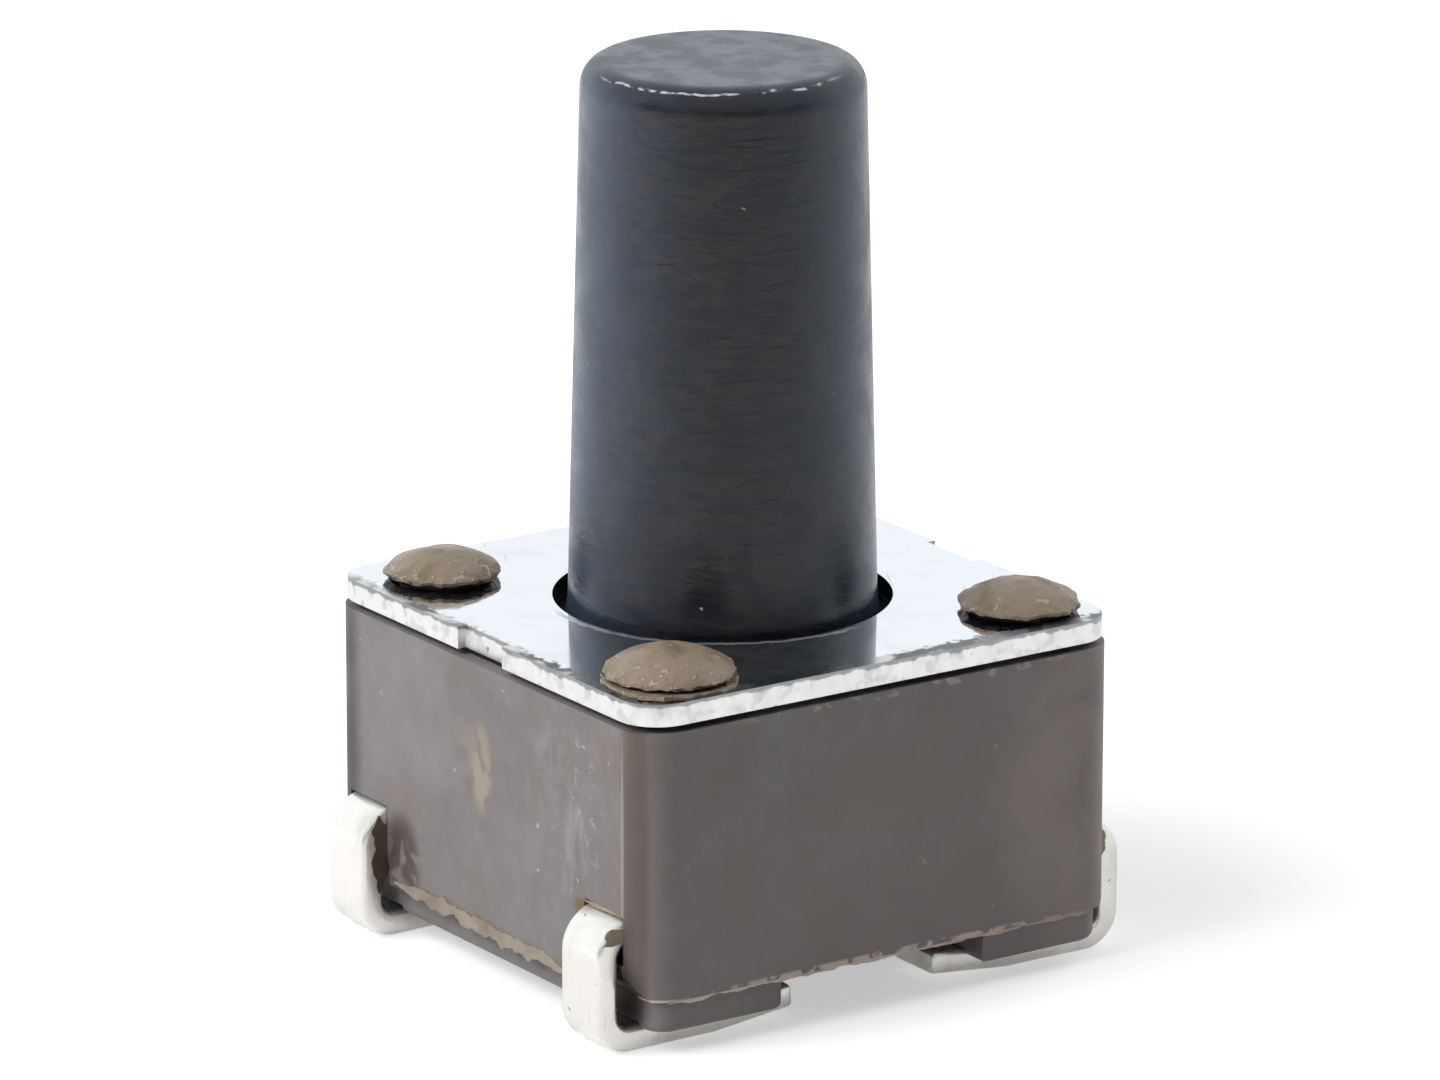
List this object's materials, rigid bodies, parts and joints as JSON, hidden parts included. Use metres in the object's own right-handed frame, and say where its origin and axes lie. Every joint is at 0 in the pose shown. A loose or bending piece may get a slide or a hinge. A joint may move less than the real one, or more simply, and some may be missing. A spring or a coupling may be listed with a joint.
{
  "type": "tactile push button switch",
  "caption": "Surface-mount tactile push button: square brown moulded housing, staked steel cover, tall round black plunger over a snap dome, and J-shaped solder leads.",
  "frame": {"origin": "centre of the footprint, on the face of the circuit board that the leads stand on", "axes": "+Z from the board up through the plunger; the leads leave the housing on its -X and +X faces; the picture shows the -X and -Y faces"},
  "size_m": [0.0066, 0.006, 0.0095],
  "materials": {
    "housing": "matte grey-brown heat-resistant moulding with flash along its parting line",
    "cover_plate": "bright rolled stainless sheet with stamped edges",
    "plunger": "matte blue-black moulding with a fine grain",
    "contact_dome": "thin stainless spring sheet",
    "terminal": "silver-plated brass strip"
  },
  "bodies": {
    "housing": {"housing": "housing", "cover_plate": "cover_plate", "contact_dome": "contact_dome", "terminal_front": "terminal", "terminal_rear": "terminal"},
    "plunger": {"plunger": "plunger"}
  },
  "joints": [
    {"name": "plunger_press", "type": "slide", "parent": "housing", "child": "plunger", "axis": [0, 0, -1], "range_m": [0, 0.00025], "stiffness_N_per_m": 6000, "springref_m": -0.00002, "deforming": ["contact_dome"]}
  ]
}
